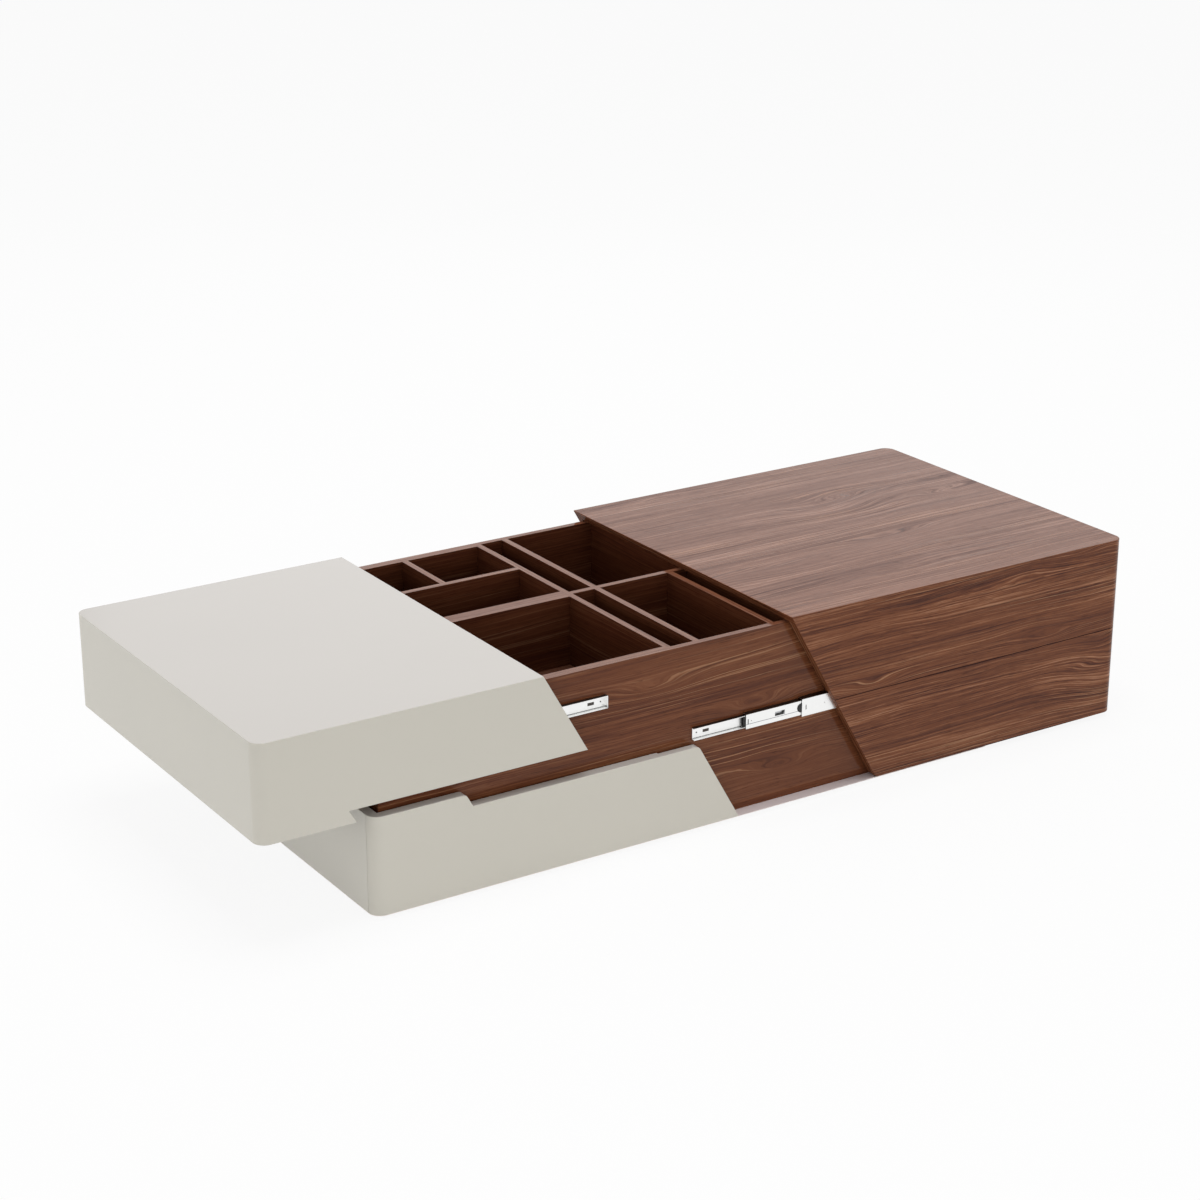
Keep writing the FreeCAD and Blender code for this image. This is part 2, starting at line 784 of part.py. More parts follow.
# Ball cages: the outer ones go three quarters of the travel, the inner ones a quarter
cage_gap = (rail_gap - cage_sheet) / 2
outer_cage_web = outer_web - cage_gap - cage_sheet
inner_cage_web = inner_reach + cage_gap
left_cage_x = left_rail_x[0] + left_cage_offset
right_cage_x = right_inner_x + right_cage_offset
cages = {
    "left": (left_cage_x, left_slide_z, open_left),
    "right": (right_cage_x, right_slide_z, open_right),
}
for hand, (start_x, slide_z, way) in cages.items():
    for kind, ball_z, web_depth, share in (
        ("outer", outer_ball_z, outer_cage_web, outer_cage_share),
        ("inner", inner_ball_z, inner_cage_web, inner_cage_share),
    ):
        cage = [moved(piece, way * share) for piece in ball_cage(start_x, slide_z, ball_z, web_depth)]
        save(hand + "_" + kind + "_cage_front", cage)
        save(hand + "_" + kind + "_cage_back", [to_back(piece) for piece in cage])

# Left sliding top: lacquered panel on two aprons and an end, one long hand slot below
left_edge = slant(under_top_z, -1)
left_profile = [
    (left_x, left_low_z, 0),
    (slot_end(left_low_z), left_low_z, 0),
    (slot_end(left_high_z), left_high_z, 0),
    (slant(left_high_z, -1), left_high_z, 0),
    (left_edge, under_top_z, 0),
    (left_x, under_top_z, 0),
]
left_dowel_places = dowel_places(left_x + dowel_margin, left_edge - dowel_margin, left_dowels)
left_holes = both_sides(dowels_at(left_dowel_places, dowel_clearance, hole_end_clearance))
left_end_places = end_dowel_places(left_x + panel / 2)
left_holes += dowels_at(left_end_places, dowel_clearance, hole_end_clearance)
left_far_x = slant(left_high_z, -1) + overrun
left_apron = rounded_skin(front_panel(left_x, left_far_x, left_profile), left_x, under_top_z)
left_groove = channel(left_rail_x[0] - channel_end_clearance, left_far_x, left_slide_z)
left_apron = left_apron.cut(left_groove).cut(Part.makeCompound(left_screw_holes))
left_apron = doweled(left_apron, left_holes).Solids[0]
save("left_front_apron", [moved(left_apron, open_left)])
save("left_back_apron", [moved(to_back(left_apron), open_left)])
left_end = end_panel((left_x, left_x + panel), (left_low_z, under_top_z))
left_end = doweled(rounded_skin(left_end, left_x, under_top_z), left_holes).Solids[0]
save("left_end_panel", [moved(left_end, open_left)])
left_plan = [
    (left_x, front_y, corner_radius),
    (left_edge + overrun, front_y, 0),
    (left_edge + overrun, back_y, 0),
    (left_x, back_y, corner_radius),
]
left_side = sharp(
    [
        (left_x, under_top_z),
        (left_edge, under_top_z),
        (slant(top_z, -1), top_z),
        (left_x, top_z),
    ]
)
left_trim = prism_y(left_side, front_y - overrun, back_y + overrun)
left_top = prism_z(left_plan, under_top_z, top_z).common(left_trim)
left_top = doweled(rounded_top(left_top.Solids[0]), left_holes).Solids[0]
save("left_top_panel", [moved(left_top, open_left)])
left_dowel_pins = both_sides(dowels_at(left_dowel_places, 0, 0)) + dowels_at(left_end_places, 0, 0)
save("left_top_dowels", [moved(piece, open_left) for piece in left_dowel_pins])
left_sunk_screws = both_sides([sunk_screw(place) for place in left_screw_places])
save("left_rail_screws", [moved(piece, open_left) for piece in left_sunk_screws])


# Right sliding cover: walnut shell of full height with a shadow line round it
def line_cut(offset):
    """Plan of the cover's outer face, set in by an offset."""
    radius = corner_radius - offset
    return [
        (left_x, front_y + offset, 0),
        (right_x - offset, front_y + offset, radius),
        (right_x - offset, back_y - offset, radius),
        (left_x, back_y - offset, 0),
    ]


line_z_range = (line_z - line_width / 2, line_z + line_width / 2)
shadow_line = prism_z(line_cut(-overrun), *line_z_range).cut(prism_z(line_cut(line_depth), *line_z_range))
right_edge = slant(under_top_z, 1)
right_profile = [
    (slant(cover_low_z, 1), cover_low_z, ease_radius),
    (right_x, cover_low_z, 0),
    (right_x, under_top_z, 0),
    (right_edge, under_top_z, 0),
]
right_dowel_places = dowel_places(right_edge + dowel_margin, right_x - dowel_margin, right_dowels)
right_holes = both_sides(dowels_at(right_dowel_places, dowel_clearance, hole_end_clearance))
right_end_places = end_dowel_places(right_x - panel / 2)
right_holes += dowels_at(right_end_places, dowel_clearance, hole_end_clearance)
right_apron = rounded_skin(front_panel(right_x, right_edge - overrun, right_profile), right_x, under_top_z)
right_groove = channel(right_edge - overrun, right_far_x + channel_end_clearance, right_slide_z)
right_apron = right_apron.cut(right_groove).cut(Part.makeCompound(right_screw_holes)).cut(shadow_line)
right_apron = doweled(right_apron, right_holes).Solids[0]
save("right_front_apron", [moved(right_apron, open_right)])
save("right_back_apron", [moved(to_back(right_apron), open_right)])
right_end = end_panel((right_x - panel, right_x), (cover_low_z, under_top_z))
right_end = rounded_skin(right_end, right_x, under_top_z).cut(shadow_line)
right_end = doweled(right_end, right_holes).Solids[0]
save("right_end_panel", [moved(right_end, open_right)])
right_plan = [
    (right_edge - overrun - seam_run, front_y, 0),
    (right_x, front_y, corner_radius),
    (right_x, back_y, corner_radius),
    (right_edge - overrun - seam_run, back_y, 0),
]
right_side = sharp(
    [
        (right_edge, under_top_z),
        (right_x, under_top_z),
        (right_x, top_z),
        (slant(top_z, 1), top_z),
    ]
)
right_trim = prism_y(right_side, front_y - overrun, back_y + overrun)
right_top = prism_z(right_plan, under_top_z, top_z).common(right_trim)
right_top = doweled(rounded_top(right_top.Solids[0]), right_holes).Solids[0]
save("right_top_panel", [moved(right_top, open_right)])
right_dowel_pins = both_sides(dowels_at(right_dowel_places, 0, 0)) + dowels_at(right_end_places, 0, 0)
save("right_cover_dowels", [moved(piece, open_right) for piece in right_dowel_pins])
right_sunk_screws = both_sides([sunk_screw(place) for place in right_screw_places])
save("right_rail_screws", [moved(piece, open_right) for piece in right_sunk_screws])
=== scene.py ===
import bpy
import numpy as np
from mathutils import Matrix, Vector


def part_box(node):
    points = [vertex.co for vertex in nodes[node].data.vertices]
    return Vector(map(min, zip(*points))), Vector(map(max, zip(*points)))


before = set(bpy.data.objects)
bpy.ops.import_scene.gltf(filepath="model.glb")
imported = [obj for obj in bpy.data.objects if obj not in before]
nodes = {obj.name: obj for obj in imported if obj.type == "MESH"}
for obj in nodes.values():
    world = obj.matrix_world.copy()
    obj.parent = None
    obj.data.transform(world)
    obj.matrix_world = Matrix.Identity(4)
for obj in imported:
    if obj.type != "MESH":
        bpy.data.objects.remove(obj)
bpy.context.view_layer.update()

# Base board. A thin board with its edge bevelled back underneath, lacquered paler than the panels as
# painted light, and felt pads glued under it. Everything stands on it, so the finish helpers start here.


class Finish:
    """One output of a material's nodes. Sums written on it add a Math node each."""

    def __init__(self, tree, socket=None):
        self.tree = tree
        self.socket = socket

    def make(self, kind, settings=None, inputs=None, output=0):
        """Adds a node of this kind: settings first, then the values or links of its inputs."""
        node = self.tree.nodes.new(kind)
        for name, value in (settings or {}).items():
            if name == "stops":
                ramp = node.color_ramp.elements
                while len(ramp) < len(value):
                    ramp.new(0.5)
                for element, (place, colour) in zip(ramp, value):
                    element.position = place
                    element.color = colour
            else:
                setattr(node, name, value)
        for name, value in (inputs or {}).items():
            if isinstance(value, Finish):
                self.tree.links.new(value.socket, node.inputs[name])
            else:
                node.inputs[name].default_value = value
        return Finish(self.tree, node.outputs[output])

    def sum(self, operation, first, second=0.0):
        """One Math node on two values or links."""
        return self.make("ShaderNodeMath", {"operation": operation}, {0: first, 1: second})

    def __add__(self, other):
        return self.sum("ADD", self, other)

    def __radd__(self, other):
        return self.sum("ADD", other, self)

    def __sub__(self, other):
        return self.sum("SUBTRACT", self, other)

    def __rsub__(self, other):
        return self.sum("SUBTRACT", other, self)

    def __mul__(self, other):
        return self.sum("MULTIPLY", self, other)

    def __rmul__(self, other):
        return self.sum("MULTIPLY", other, self)

    def above(self, level):
        """1 where this is above a level and 0 elsewhere."""
        return self.sum("GREATER_THAN", self, level)

    def size(self):
        """This without its sign."""
        return self.sum("ABSOLUTE", self)

    def near(self, centre, reach):
        """1 within a reach of the centre and 0 elsewhere."""
        return 1.0 - (self - centre).size().above(reach)

    def hump(self, centre, reach):
        """1 at the centre, falling off as a bell to about a third at the reach."""
        off = (self - centre) * (1.0 / reach)
        return self.sum("EXPONENT", -1.0 * (off * off))

    def between(self, low, high):
        """0 below low, 1 above high, and a smooth rise between."""
        settings = {"interpolation_type": "SMOOTHSTEP"}
        return self.make("ShaderNodeMapRange", settings, {"Value": self, "From Min": low, "From Max": high})

    def pick(self, first, second):
        """The first value where this is 0 and the second where it is 1."""
        return first + self * (second - first)

    def tint(self, first, second):
        """The first colour where this is 0 and the second where it is 1."""
        settings = {"data_type": "RGBA", "clamp_factor": True}
        factor, first_colour, second_colour, mixed_colour = 0, 6, 7, 2
        inputs = {factor: self, first_colour: first, second_colour: second}
        return self.make("ShaderNodeMix", settings, inputs, mixed_colour)

    def scaled(self, shares):
        """This colour with its red, green and blue each times a share."""
        return self.make("ShaderNodeVectorMath", {"operation": "MULTIPLY"}, {0: self, 1: shares})

    def noise(self, x, y, z, detail=2.0, roughness=0.5):
        """Noise of about 0 to 1 with one cell to a step of x, y or z. A plain number for z is a seed."""
        place = self.make("ShaderNodeCombineXYZ", None, {"X": x, "Y": y, "Z": z})
        inputs = {"Vector": place, "Scale": 1.0, "Detail": detail, "Roughness": roughness}
        return self.make("ShaderNodeTexNoise", {"noise_dimensions": "3D"}, inputs)

    def bands(self, along, detail=2.0, roughness=0.5):
        """Irregular bands of about 0 to 1 along one value."""
        inputs = {"W": along, "Scale": 1.0, "Detail": detail, "Roughness": roughness}
        return self.make("ShaderNodeTexNoise", {"noise_dimensions": "1D"}, inputs)


def srgb(red, green, blue):
    """A colour read off in 0 to 255 steps, as linear light by the standard curve."""
    steps = np.array([red, green, blue]) / 255.0
    linear = np.where(steps <= 0.04045, steps / 12.92, ((steps + 0.055) / 1.055) ** 2.4)
    return (*linear.tolist(), 1.0)


def darker(colour, share):
    """A colour with its light cut to a share."""
    return (*(share * part for part in colour[:3]), 1.0)


def new_finish(name):
    """A fresh material: its Finish to build on, its shader and the material itself."""
    material = bpy.data.materials.new(name)
    material.use_nodes = True
    tree = material.node_tree
    return Finish(tree), tree.nodes["Principled BSDF"], material


def feed(finish, shader, **inputs):
    """Links worked-out values to a shader's inputs, named with _ for each space."""
    for name, value in inputs.items():
        finish.tree.links.new(value.socket, shader.inputs[name.replace("_", " ")])


def raised(finish, height, distance):
    """A normal tipped by a height in shares of a distance in metres."""
    return finish.make("ShaderNodeBump", None, {"Strength": 1.0, "Distance": distance, "Height": height})


def object_place(finish):
    """The x, y and z of a point on the piece, in metres."""
    place = finish.make("ShaderNodeTexCoord", output="Object")
    return [finish.make("ShaderNodeSeparateXYZ", None, {0: place}, axis) for axis in "XYZ"]


def upward_part(finish):
    """How far the surface looks up, from -1 to 1."""
    facing = finish.make("ShaderNodeTexCoord", output="Normal")
    return finish.make("ShaderNodeSeparateXYZ", None, {0: facing}, "Z")


def speckle(finish, place, cells, detail=2.0, roughness=0.5):
    """Noise over a piece with these numbers of cells to the metre along x, y and z."""
    x, y, z = (count * part for count, part in zip(cells, place))
    return finish.noise(x, y, z, detail, roughness)


def dress(material, *names):
    """Gives CAD nodes their finish."""
    for name in names:
        mesh = nodes[name].data
        mesh.materials.clear()
        mesh.materials.append(material)


level_facing = 0.8
# Painted sheen: level lacquer faces are tinted a little less yellow.
lacquer_painted_sheen = (1.0, 0.99, 1.055)
lacquer_gloss = (0.12, 0.17)
cloud_cells = 3.0
cloud_share = 0.97
peel_cells = (450.0, 450.0, 450.0)
peel_height = 0.00001


def lacquer(name, colour):
    """Sprayed lacquer: an even colour with a faint cloud in it and a very fine orange peel. Level
    faces are tinted a little less yellow, as painted sheen."""
    finish, shader, material = new_finish(name)
    x, y, z = object_place(finish)
    level = upward_part(finish).above(level_facing)
    cloud = finish.noise(cloud_cells * x, cloud_cells * (y + z), cloud_cells * (z - y), detail=3.0)
    peel = speckle(finish, (x, y, z), peel_cells, detail=1.0)
    sprayed = cloud.tint(darker(colour, cloud_share), colour)
    # Painted sheen on level faces.
    feed(finish, shader, Base_Color=level.tint(sprayed, sprayed.scaled(lacquer_painted_sheen)))
    feed(finish, shader, Roughness=cloud.pick(*lacquer_gloss), Normal=raised(finish, peel, peel_height))
    return material


# Painted light: paler than the cream lacquer, to lift the shade under the cover.
painted_light_lacquer = lacquer("painted_light_lacquer", srgb(236, 226, 220))
dress(painted_light_lacquer, "base_board")

felt_colours = (srgb(88, 84, 78), srgb(150, 144, 136))
felt_cells = (1800.0, 1800.0, 600.0)
felt_nap = 0.0004
felt_roughness = 0.95


def felt():
    """Pressed felt: short grey fibres in all directions."""
    finish, shader, material = new_finish("pressed_felt")
    fibre = speckle(finish, object_place(finish), felt_cells, detail=4.0, roughness=0.7)
    feed(finish, shader, Base_Color=fibre.tint(*felt_colours), Normal=raised(finish, fibre, felt_nap))
    shader.inputs["Roughness"].default_value = felt_roughness
    return material


dress(felt(), "floor_pads")

# Lower panels. Lacquered boards fixed to the base board, with the corner rounded into the end
# board, the slanted end under the walnut cover and the low stretch that makes the hand slot.
# Bare softwood battens behind them and bearers under the box floor stay hidden.
cream_lacquer = lacquer("cream_lacquer", srgb(199, 195, 184))
dress(cream_lacquer, "base_front_panel", "base_back_panel", "base_left_end")

bare_colours = (srgb(158, 120, 82), srgb(214, 184, 142))
bare_gloss = (0.6, 0.8)
bare_wave_cells = (4.0, 30.0, 30.0)
bare_rings_a_metre = 160.0
bare_wave = 9.0


def bare_wood():
    """Plain unfinished softwood: rings across the board that a slow wave pushes about."""
    finish, shader, material = new_finish("bare_wood")
    place = object_place(finish)
    wave = speckle(finish, place, bare_wave_cells)
    rings = finish.bands(bare_rings_a_metre * (place[1] + place[2]) + bare_wave * wave)
    feed(finish, shader, Base_Color=rings.tint(*bare_colours), Roughness=rings.pick(*bare_gloss))
    return material


bare = bare_wood()
dress(bare, "panel_battens", "floor_bearers")

# Storage box. Boards veneered in walnut with the figure running level round the box, its rims
# edged in the same wood and sealed with a satin coat.

# Each layer of the grain: cells to the metre along it and across it, seed step, detail, roughness.
grain_layers = {
    "sway": (0.7, 3.0, 0.0, 1.0, 0.5),
    "ripple": (2.2, 8.0, 5.0, 2.0, 0.5),
    "flame": (3.4, 19.0, 7.0, 1.0, 0.5),
    "tremble": (22.0, 110.0, 9.0, 2.0, 0.5),
    "zone": (1.3, 4.5, 11.0, 1.0, 0.5),
    "rings": (1.2, 34.0, 1.0, 2.0, 0.5),
    "bands": (2.0, 110.0, 3.0, 2.0, 0.5),
    "lines": (2.6, 340.0, 2.0, 3.0, 0.65),
    "dash": (14.0, 400.0, 19.0, 2.0, 0.6),
    "fibre": (30.0, 1100.0, 17.0, 2.0, 0.65),
    "lively": (1.1, 6.0, 23.0, 1.0, 0.5),
    "streak": (2.2, 400.0, 4.0, 1.0, 0.5),
    "bright": (1.7, 12.0, 13.0, 2.0, 0.5),
    "vein": (2.0, 300.0, 6.0, 1.0, 0.5),
    "pore": (34.0, 620.0, 21.0, 1.0, 0.5),
}
# Layers that come in patches: none of it below the first value and all of it above the second.
grain_patches = {
    "zone": (0.50, 0.66),
    "lively": (0.42, 0.60),
    "streak": (0.58, 0.70),
    "bright": (0.45, 0.62),
    "vein": (0.62, 0.71),
    "pore": (0.60, 0.72),
}
# How far a layer pushes the grain across the leaf, in metres, and its weight in the light and dark.
grain_push = {"sway": 0.07, "ripple": 0.016, "flame": 0.060, "tremble": 0.0016}
grain_weight = {"rings": 0.6, "bands": 0.3, "lines": 1.1, "dash": 0.35, "fibre": 0.35}
noise_middle = 0.5
lively_contrast = (0.75, 1.15)
level_contrast = 0.6
fibre_relief = 0.5
grain_relief = 0.00003

walnut_middle = 0.50
walnut_stops = [
    (0.18, srgb(60, 30, 22)),
    (0.36, srgb(86, 47, 31)),
    (walnut_middle, srgb(106, 61, 37)),
    (0.64, srgb(128, 81, 54)),
    (0.84, srgb(157, 112, 84)),
]
walnut_gold = srgb(173, 128, 94)
walnut_vein = srgb(58, 28, 18)
walnut_pore = srgb(44, 20, 12)
walnut_shade = srgb(46, 16, 12)
gold_share = 0.65
vein_share = 0.5
pore_share = 0.45

# Painted shade: faces that look down, the box's inside below the rim, the groove and the strips behind the
# rails.
slant_facing = 0.3
painted_shade_share = 0.6
outside_share = 0.15
down_share = 0.35
groove_painted_shade = 0.85
groove_half_width = 0.0009
bed_painted_shade = srgb(78, 72, 68)

walnut_roughness = 0.125
fibre_roughness = 0.05
pore_roughness = 0.10
walnut_coat = 0.92
coat_figure = (0.3, 0.9)
pore_coat = 0.25
sawn_coat = 0.3
coat_ior = 1.28
coat_roughness = 0.12

hair = 0.0005
top_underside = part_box("right_top_panel")[0][2]
box_front, box_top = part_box("box_front_wall")
rim_height = box_top[2] - hair


def walnut(name, seed, eyes, contrast, painted_sheen, rim_along_y=False, outer_face=None, groove=None, beds=()):
    """Flat-sawn walnut veneer. The grain follows the level lines of a height that climbs across the
    leaf and is pushed about by stretched noise, so it waves and closes into flames and eyes. Rings,
    bands, fine lines, dashes and fibres along those level lines make the figure, as strong as the
    contrast says and stronger in lively patches. Golden streaks, dark veins and pores lie over it.
    The coat is thinner over the dark lines, which have soaked it up, and level faces are lightened
    by a share for each colour as painted sheen.
    Each eye is (along, across, half length, half width, push), all in metres. With an outer face
    (its distance from the middle) given, all that lies inside it and below the rim is darkened with
    painted shade, and what stands upright outside it is a little darker. Faces that look down and the
    bottom of a groove at a given height are darkened with painted shade too. Slanted ends are sawn and
    only sealed, with little coat. A bed (left, right, low, high) is the strip of the outer face behind
    a rail, darkened with painted shade, which shows only through the rail's slots."""
    finish, shader, material = new_finish(name)
    x, y, z = object_place(finish)
    upward = upward_part(finish)
    level = upward.size().above(level_facing)
    slanted = upward.size().above(slant_facing) - level
    lengthwise, sideways = (y, x) if rim_along_y else (x, y)
    on_top = z.above(top_underside)
    along = slanted.pick(level.pick(lengthwise + sideways, lengthwise), on_top.pick(z, y))
    across = slanted.pick(level.pick(z, sideways), on_top.pick(y, z))

    def layer(kind, over):
        """A layer of the grain over a place across it: 0 to 1 if it comes in patches, or about 0."""
        cells_along, cells_across, step, detail, roughness = grain_layers[kind]
        value = finish.noise(cells_along * along, cells_across * over, seed + step, detail, roughness)
        if kind in grain_patches:
            return value.between(*grain_patches[kind])
        return value - noise_middle

    push = {kind: reach * layer(kind, across) for kind, reach in grain_push.items()}
    height = across + push["sway"] + push["ripple"] + push["tremble"]
    height = height + layer("zone", across) * push["flame"]
    for centre_along, centre_across, half_length, half_width, swelling in eyes:
        swell = along.hump(centre_along, half_length) * across.hump(centre_across, half_width)
        height = height + swelling * swell

    threads = {kind: layer(kind, height) for kind in grain_weight}
    figure = sum(weight * threads[kind] for kind, weight in grain_weight.items())
    figure = contrast * layer("lively", across).pick(*lively_contrast) * figure
    tone = walnut_middle + level.pick(1.0, level_contrast) * figure
    gold = layer("streak", height) * layer("bright", across)
    pore = layer("pore", height)
    wood = finish.make("ShaderNodeValToRGB", {"stops": walnut_stops}, {0: tone})
    wood = (gold_share * gold).tint(wood, walnut_gold)
    wood = (vein_share * layer("vein", height)).tint(wood, walnut_vein)
    wood = (pore_share * pore).tint(wood, walnut_pore)
    # Painted sheen: level faces are lightened by a share for each colour.
    wood = level.tint(wood, wood.scaled(painted_sheen))

    # Painted shade on faces that look down and inside the box below the rim; upright outer faces a little
    # darker.
    shade = down_share * (1.0 - upward.above(-slant_facing))
    if outer_face:
        outside = y.size().above(outer_face)
        inside = (1.0 - z.above(rim_height)) * (1.0 - outside)
        shade = finish.sum("MAXIMUM", shade, inside.pick(outside_share * (1.0 - level), 1.0))
    wood = (painted_shade_share * shade).tint(wood, walnut_shade)
    # Painted shade in the bottom of the groove.
    if groove:
        wood = (groove_painted_shade * z.near(groove, groove_half_width)).tint(wood, walnut_shade)
    # Painted shade on the strips behind the rails, seen through their slots.
    for left, right, low, high in beds:
        behind = x.above(left) * (1.0 - x.above(right)) * z.above(low) * (1.0 - z.above(high))
        wood = (behind * outside).tint(wood, bed_painted_shade)

    roughness = walnut_roughness + fibre_roughness * threads["fibre"] + pore_roughness * pore
    relief = fibre_relief * threads["fibre"] - pore
    coat = walnut_coat + level.pick(*coat_figure) * figure - pore_coat * pore
    feed(finish, shader, Base_Color=wood, Roughness=roughness, Normal=raised(finish, relief, grain_relief))
    feed(finish, shader, Coat_Weight=slanted.pick(1.0, sawn_coat) * coat)
    shader.inputs["Coat IOR"].default_value = coat_ior
    shader.inputs["Coat Roughness"].default_value = coat_roughness
    shader.inputs["Specular IOR Level"].default_value = 0.0
    return material


box_face = box_front[1]
box_outside = -box_face - hair
box_eyes = [
    (0.12 + box_face, 0.204, 0.07, 0.014, 0.022),
    (0.18 + box_face, 0.073, 0.06, 0.014, 0.020),
    (-0.10 + box_face, 0.28, 0.09, 0.016, 0.020),
]
box_contrast = 0.62
# Painted sheen on the rims and the other level faces of the box.
rim_painted_sheen = (1.36, 1.58, 2.10)
bed_margin = 0.003
rail_boxes = [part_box("left_inner_rail_front"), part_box("right_inner_rail_front")]
rail_beds = [
    (low[0] + bed_margin, high[0] - bed_margin, low[2] + bed_margin, high[2] - bed_margin)
    for low, high in rail_boxes
]
box_walnut = walnut(
    "box_walnut", seed=31.0, eyes=box_eyes, contrast=box_contrast, painted_sheen=rim_painted_sheen,
    outer_face=box_outside, beds=rail_beds,
)
cross_walnut = walnut(
    "cross_walnut", seed=47.0, eyes=[], contrast=box_contrast, painted_sheen=rim_painted_sheen,
    rim_along_y=True, outer_face=box_outside,
)
dress(box_walnut, "box_front_wall", "box_back_wall", "box_floor")
dress(cross_walnut, "box_left_wall", "box_right_wall")

# Liners and dividers. Walnut boards standing on the box floor; the liners thicken the rim on the
# left and the two dividers on the right halve into each other where they cross.
dress(box_walnut, "front_liner", "back_liner")
dress(box_walnut, "divider_centre_thick", "divider_centre_right", "divider_back_long")
dress(cross_walnut, "divider_cross_left", "divider_cross_right", "divider_back_short")
dress(cross_walnut, "divider_end_front", "divider_end_back")

# Slides. Three bright zinc-plated steel channels to a side that run inside one another on balls,
# with black moulded end plugs, release levers and stops, and zinc screws.
rolled_cells = (9.0, 1500.0, 1500.0)
rolled_height = 0.00001
bloom_cells = (60.0, 60.0, 60.0)
bloom_share = 0.93
bloom_roughness = 0.08
# Painted shade along the top of the rails, over the upper ball race.
race_painted_shade = srgb(66, 56, 52)


def zinc(name, colour, roughness, marks=(), race_height=None):
    """Bright zinc plate on rolled strip: fine lines along the strip and a faint cloudy bloom. Each
    mark is a line (height, half width, colour) of painted shade in a bend or a crease. What looks
    up above the race height, over the upper ball race, is darkened with painted shade."""
    finish, shader, material = new_finish(name)
    x, y, z = object_place(finish)
    rolled = speckle(finish, (x, y, z), rolled_cells)
    bloom = speckle(finish, (x, y, z), bloom_cells, detail=3.0)
    plate = (0.5 * (rolled + bloom)).tint(darker(colour, bloom_share), colour)
    # Painted shade lines in the bends and creases.
    for height, half_width, mark_painted_shade in marks:
        plate = z.near(height, half_width).tint(plate, mark_painted_shade)
    # Painted shade over the upper ball race.
    if race_height:
        in_race = upward_part(finish).above(slant_facing) * z.above(race_height)
        plate = in_race.tint(plate, race_painted_shade)
    feed(finish, shader, Base_Color=plate, Normal=raised(finish, rolled, rolled_height))
    feed(finish, shader, Roughness=roughness + bloom_roughness * bloom)
    shader.inputs["Metallic"].default_value = 1.0
    return material


zinc_colour = srgb(250, 250, 249)
zinc_roughness = 0.28
steel_colour = srgb(196, 197, 200)
steel_roughness = 0.35
# Painted shade lines in the inner rails' lower bend and the middle rails' crease.
bend_painted_shade = (0.0004, srgb(84, 86, 86))
bend_height = 0.0016
crease_painted_shade = (0.0006, srgb(168, 168, 172))
crease_drop = 0.0051
race_depth = 0.0012
dull_steel = zinc("dull_steel", steel_colour, steel_roughness)
for hand in ("left", "right"):
    lowest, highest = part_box(hand + "_inner_rail_front")
    middle_height = (lowest[2] + highest[2]) / 2.0
    marks = {
        "inner": [(lowest[2] + bend_height, *bend_painted_shade)],
        "middle": [(middle_height - crease_drop, *crease_painted_shade)],
        "outer": [],
    }
    for member, lines in marks.items():
        rail = hand + "_" + member + "_rail"
        race_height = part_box(rail + "_front")[1][2] - race_depth
        plated = zinc(rail + "_zinc", zinc_colour, zinc_roughness, lines, race_height)
        dress(plated, rail + "_front", rail + "_back")
    for cage in ("inner", "outer"):
        dress(dull_steel, hand + "_" + cage + "_cage_front", hand + "_" + cage + "_cage_back")
    dress(dull_steel, hand + "_rail_screws")
dress(dull_steel, "box_rail_screws")

plastic_colours = (srgb(12, 12, 12), srgb(30, 30, 31))
plastic_gloss = (0.45, 0.60)
plastic_cells = (2500.0, 2500.0, 2500.0)
plastic_grain = 0.00005


def moulded_plastic():
    """Black moulded plastic with a fine spark-eroded grain."""
    finish, shader, material = new_finish("black_plastic")
    grain = speckle(finish, object_place(finish), plastic_cells)
    feed(finish, shader, Base_Color=grain.tint(*plastic_colours), Roughness=grain.pick(*plastic_gloss))
    feed(finish, shader, Normal=raised(finish, grain, plastic_grain))
    return material


plastic = moulded_plastic()
dress(plastic, "left_slide_plastics", "right_slide_plastics", "left_rail_stops", "right_rail_stops")

# Left sliding top. A lacquered panel doweled to two aprons and an end board, sprayed as one so
# that no seam shows.
dress(cream_lacquer, "left_top_panel", "left_front_apron", "left_back_apron", "left_end_panel")
dress(bare, "left_top_dowels")

# Right sliding cover. A full-height walnut shell doweled in the same way, with a fine shadow line
# cut round it at the height of the split.
cover_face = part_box("right_front_apron")[0][1]
cover_eyes = [
    (0.79 + cover_face, 0.200, 0.075, 0.012, 0.021),
    (0.95 + cover_face, 0.100, 0.110, 0.070, 0.032),
    (0.36 + cover_face, 0.196, 0.060, 0.012, 0.014),
    (0.60, -0.098, 0.11, 0.018, 0.024),
    (0.876, 0.055, 0.10, 0.016, 0.022),
]
cover_contrast = 1.2
# Painted sheen on the cover's level faces.
cover_painted_sheen = (1.23, 1.20, 1.25)
groove_height = 0.1833
cover_walnut = walnut(
    "cover_walnut", seed=4.0, eyes=cover_eyes, contrast=cover_contrast, painted_sheen=cover_painted_sheen,
    groove=groove_height,
)
dress(cover_walnut, "right_top_panel", "right_front_apron", "right_back_apron", "right_end_panel")
dress(bare, "right_cover_dowels")

# Floor and light. A pale matt floor that keeps the shadow under a white sky that is brighter
# towards the horizon, a wide soft lamp above and a weak one behind the table.
floor_reach = 40.0
corners = floor_reach * np.array([[-1, -1, 0], [1, -1, 0], [1, 1, 0], [-1, 1, 0]], float)
floor_mesh = bpy.data.meshes.new("studio_floor")
floor_mesh.from_pydata(corners.tolist(), [], [(0, 1, 2, 3)])
floor = bpy.data.objects.new("studio_floor", floor_mesh)
bpy.context.scene.collection.objects.link(floor)

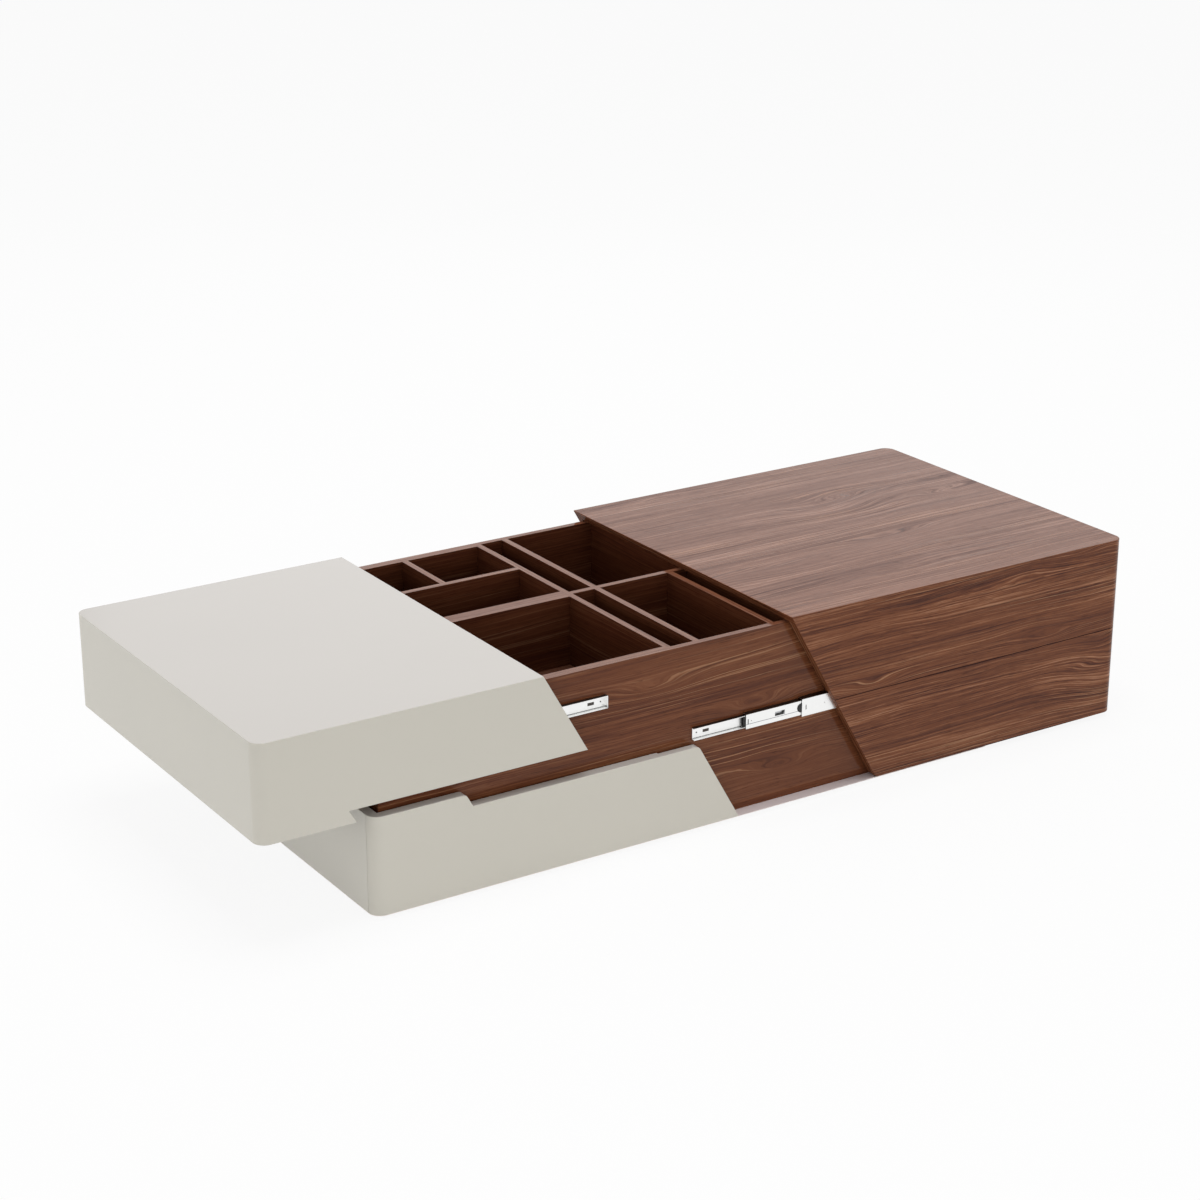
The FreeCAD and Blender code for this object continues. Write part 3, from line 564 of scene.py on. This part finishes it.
direct_rays = ("Is Camera Ray", "Is Glossy Ray", "Is Transmission Ray")


def seen_directly(finish):
    """1 for rays from the camera, a mirror or glass, 0 for light that bounces off matt surfaces."""
    seen, mirrored, through = (finish.make("ShaderNodeLightPath", output=ray) for ray in direct_rays)
    return finish.sum("MAXIMUM", finish.sum("MAXIMUM", seen, mirrored), through)


white = (1.0, 1.0, 1.0, 1.0)
floor_colour = darker(white, 0.93)
floor_glow_share = 0.90
floor_finish, floor_shader, floor_material = new_finish("pale_floor")
floor_shader.inputs["Base Color"].default_value = floor_colour
floor_shader.inputs["Roughness"].default_value = 1.0
floor_shader.inputs["Specular IOR Level"].default_value = 0.0
matt = Finish(floor_finish.tree, floor_shader.outputs["BSDF"])
glow = floor_finish.make("ShaderNodeEmission", None, {"Color": white, "Strength": 1.0})
glow_share = floor_glow_share * seen_directly(floor_finish)
shared = floor_finish.make("ShaderNodeMixShader", None, {0: glow_share, 1: matt, 2: glow})
surface = floor_finish.tree.nodes["Material Output"].inputs["Surface"]
floor_finish.tree.links.new(shared.socket, surface)
floor_mesh.materials.append(floor_material)

side_strength = 1.75
crown_strength = 0.42
sky_climb = (0.20, 0.50)
world = bpy.data.worlds.new("white_studio")
world.use_nodes = True
bpy.context.scene.world = world
sky = Finish(world.node_tree)
background = world.node_tree.nodes["Background"]
background.inputs["Color"].default_value = white
heading = sky.make("ShaderNodeTexCoord", output="Generated")
climb = sky.make("ShaderNodeSeparateXYZ", None, {0: heading}, "Z").between(*sky_climb)
studio = climb.pick(side_strength, crown_strength)
brightness = seen_directly(sky).pick(studio, 1.0)
world.node_tree.links.new(brightness.socket, background.inputs["Strength"])


def soft_lamp(name, place, aim, width, height, power):
    """A soft box of this size in metres at a place, turned to a point, with its power in watts."""
    lamp = bpy.data.lights.new(name, "AREA")
    lamp.shape = "RECTANGLE"
    lamp.size = width
    lamp.size_y = height
    lamp.energy = power
    lamp_object = bpy.data.objects.new(name, lamp)
    lamp_object.location = place
    lamp_object.rotation_euler = (Vector(aim) - Vector(place)).to_track_quat("-Z", "Y").to_euler()
    lamp_object.visible_camera = False
    bpy.context.scene.collection.objects.link(lamp_object)


soft_lamp("top_lamp", place=(0.0, -0.3, 6.0), aim=(0.0, 0.0, 0.0), width=3.0, height=3.0, power=150.0)
soft_lamp("back_lamp", place=(2.3, 3.5, 1.9), aim=(0.0, 0.0, 0.3), width=3.6, height=2.0, power=7.5)

# Camera. Placed where the straight edges in the photograph put it, level across, with the long
# lens that its weak perspective asks for.
camera_place = (-2.4392, -3.7800, 1.9726)
looking = Vector((0.51042, 0.78768, -0.34501))
camera = bpy.data.cameras.new("camera")
camera.sensor_width = 36.0
camera.lens = 79.48
camera.clip_end = 100.0
camera_object = bpy.data.objects.new("camera", camera)
camera_object.location = camera_place
camera_object.rotation_euler = looking.to_track_quat("-Z", "Y").to_euler()
bpy.context.scene.collection.objects.link(camera_object)
bpy.context.scene.camera = camera_object
bpy.context.scene.view_settings.view_transform = "Standard"
